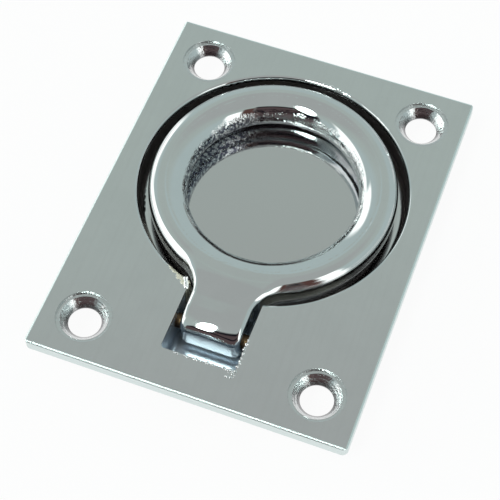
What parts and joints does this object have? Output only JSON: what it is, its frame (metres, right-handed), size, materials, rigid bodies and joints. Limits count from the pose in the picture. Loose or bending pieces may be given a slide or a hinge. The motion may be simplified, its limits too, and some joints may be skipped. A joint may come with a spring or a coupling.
{
  "type": "flush lift ring",
  "caption": "Flush lift ring: a rectangular chrome plate with a round recess and countersunk screw holes, and a ring on a flat stem that hinges up out of the recess.",
  "frame": {"origin": "centre of the screw hole pattern, on the plate's back seating face", "axes": "+Z out of the front face, +Y towards the ring's free end, X along the hinge pin"},
  "size_m": [0.048, 0.062, 0.009],
  "materials": {
    "plate_chrome": "chrome plate over a casting, polished on the front",
    "ring_chrome": "chrome plate over a casting, polished all over",
    "pin_brass": "drawn rod, left unplated"
  },
  "bodies": {
    "base": {"plate": "plate_chrome", "hinge_pin": "pin_brass"},
    "ring": {"lift_ring": "ring_chrome"}
  },
  "joints": [
    {"name": "ring_hinge", "type": "hinge", "parent": "base", "child": "ring", "pos_m": [0, -0.0188, -0.00115], "axis": [1, 0, 0], "range_deg": [0, 95]}
  ]
}
